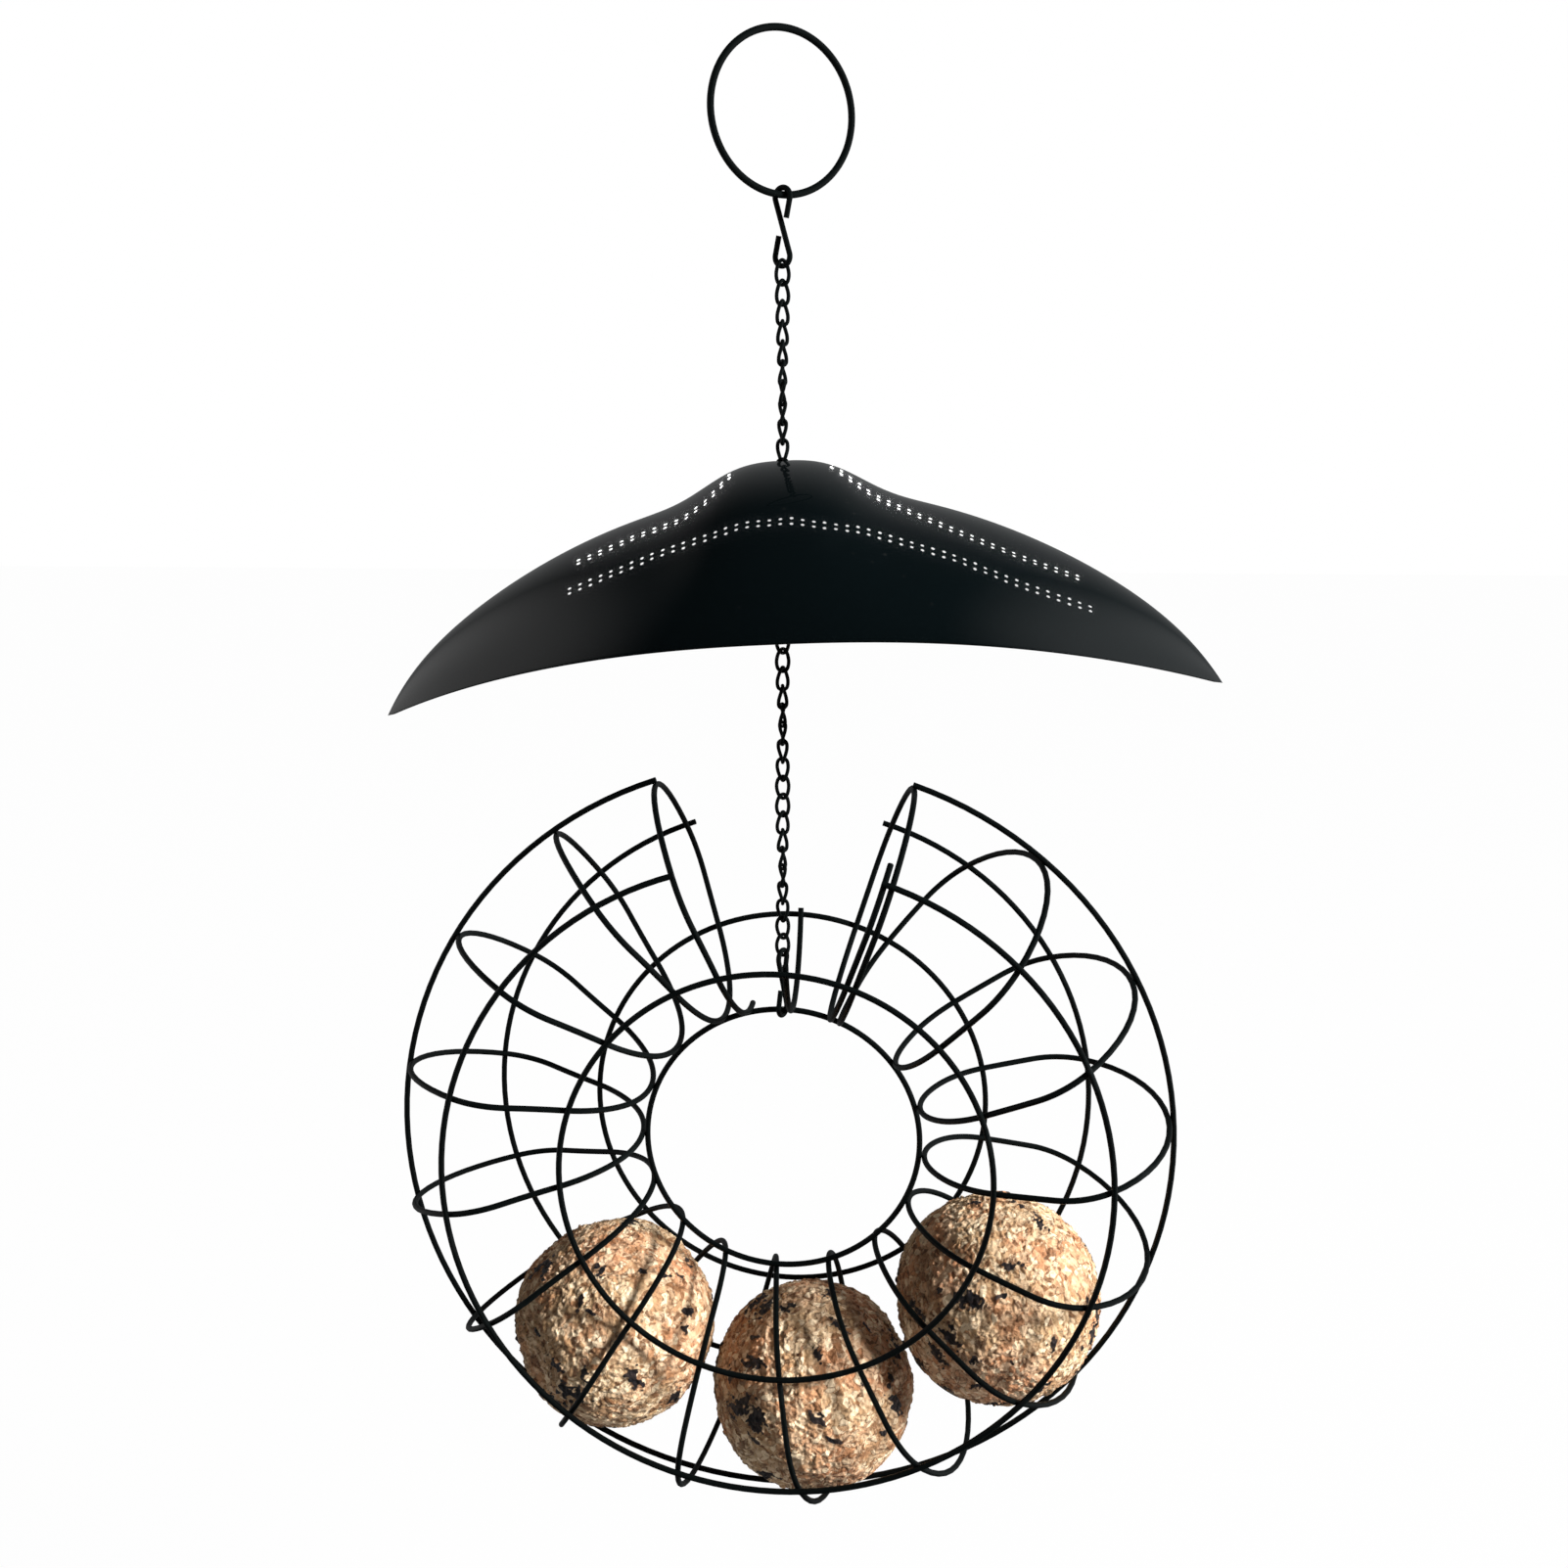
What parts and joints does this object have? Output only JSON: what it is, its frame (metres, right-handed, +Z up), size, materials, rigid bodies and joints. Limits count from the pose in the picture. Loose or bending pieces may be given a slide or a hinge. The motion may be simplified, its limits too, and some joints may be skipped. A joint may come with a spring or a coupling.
{
  "type": "hanging suet ball feeder",
  "caption": "Hanging ring feeder: a coiled wire cage shaped as an open ring holds suet balls under a glossy arched roof that slides on its chain.",
  "frame": {"origin": "centre of the hanging ring's hole, at the top of the feeder", "axes": "+Z up along the hanging chain, +X along the cage ring's width towards the viewer's right, +Y away from the viewer, along the cage ring's own axis"},
  "size_m": [0.251, 0.106, 0.4504],
  "materials": {
    "ring_wire": "satin black coated steel wire",
    "hook_wire": "satin black coated steel wire",
    "chain_wire": "satin black coated steel chain",
    "cage_wire": "satin black coated steel wire",
    "roof_shell": "smooth glossy black shell",
    "suet": "crumbly tan fat with seeds and dark flecks, dull"
  },
  "bodies": {
    "ring": {"hanging_ring": "ring_wire"},
    "top_hook": {"top_s_hook": "hook_wire"},
    "chain": {"chain_link_01": "chain_wire", "chain_link_02": "chain_wire", "chain_link_03": "chain_wire", "chain_link_04": "chain_wire", "chain_link_05": "chain_wire", "chain_link_06": "chain_wire", "chain_link_07": "chain_wire", "chain_link_08": "chain_wire", "chain_link_09": "chain_wire", "chain_link_10": "chain_wire", "chain_link_11": "chain_wire", "chain_link_12": "chain_wire", "chain_link_13": "chain_wire", "chain_link_14": "chain_wire", "chain_link_15": "chain_wire", "chain_link_16": "chain_wire", "chain_link_17": "chain_wire", "chain_link_18": "chain_wire", "chain_link_19": "chain_wire", "chain_link_20": "chain_wire", "chain_link_21": "chain_wire", "chain_link_22": "chain_wire", "chain_link_23": "chain_wire", "chain_link_24": "chain_wire", "chain_link_25": "chain_wire", "chain_link_26": "chain_wire", "chain_link_27": "chain_wire", "chain_link_28": "chain_wire", "chain_link_29": "chain_wire", "chain_link_30": "chain_wire", "chain_link_31": "chain_wire", "chain_link_32": "chain_wire", "chain_link_33": "chain_wire", "chain_link_34": "chain_wire", "chain_link_35": "chain_wire", "chain_link_36": "chain_wire", "chain_link_37": "chain_wire"},
    "roof": {"roof": "roof_shell"},
    "lower_hook": {"lower_s_hook": "hook_wire"},
    "cage": {"coil_wire": "cage_wire", "outer_hoop": "cage_wire", "front_outer_hoop": "cage_wire", "back_outer_hoop": "cage_wire", "front_inner_hoop": "cage_wire", "back_inner_hoop": "cage_wire", "inner_hoop": "cage_wire", "mouth_saddle": "cage_wire"},
    "ball_middle": {"suet_ball_middle": "suet"},
    "ball_left": {"suet_ball_left": "suet"},
    "ball_right": {"suet_ball_right": "suet"}
  },
  "joints": [
    {"name": "ring_swing", "type": "hinge", "parent": "ring", "child": "top_hook", "pos_m": [0, 0, -0.0218], "axis": [0.8572, 0.515, 0], "range_deg": [-45, 45]},
    {"name": "chain_swing", "type": "hinge", "parent": "top_hook", "child": "chain", "pos_m": [0, 0, -0.04088], "axis": [0.866, -0.5, 0], "range_deg": [-45, 45]},
    {"name": "roof_slide", "type": "slide", "parent": "chain", "child": "roof", "axis": [0, 0, 1], "range_m": [-0.0735, 0.0465]},
    {"name": "lower_hook_swing", "type": "hinge", "parent": "chain", "child": "lower_hook", "pos_m": [0, 0, -0.24277], "axis": [0.4226, 0.9063, 0], "range_deg": [-3, 3]},
    {"name": "cage_rock", "type": "hinge", "parent": "lower_hook", "child": "cage", "pos_m": [0, 0, -0.26195], "axis": [1, 0, 0], "range_deg": [-8, 8]},
    {"name": "balls_roll", "type": "hinge", "parent": "cage", "child": "ball_middle", "pos_m": [0, 0, -0.30513], "axis": [0, 1, 0], "range_deg": [-85, 95]},
    {"name": "left_ball_roll", "type": "hinge", "parent": "cage", "child": "ball_left", "pos_m": [0, 0, -0.30513], "axis": [0, 1, 0], "range_deg": [-85, 95]},
    {"name": "right_ball_roll", "type": "hinge", "parent": "cage", "child": "ball_right", "pos_m": [0, 0, -0.30513], "axis": [0, 1, 0], "range_deg": [-85, 95]}
  ],
  "couplings": [
    {"joint": "left_ball_roll", "follows": "balls_roll", "ratio": 1},
    {"joint": "right_ball_roll", "follows": "balls_roll", "ratio": 1}
  ]
}
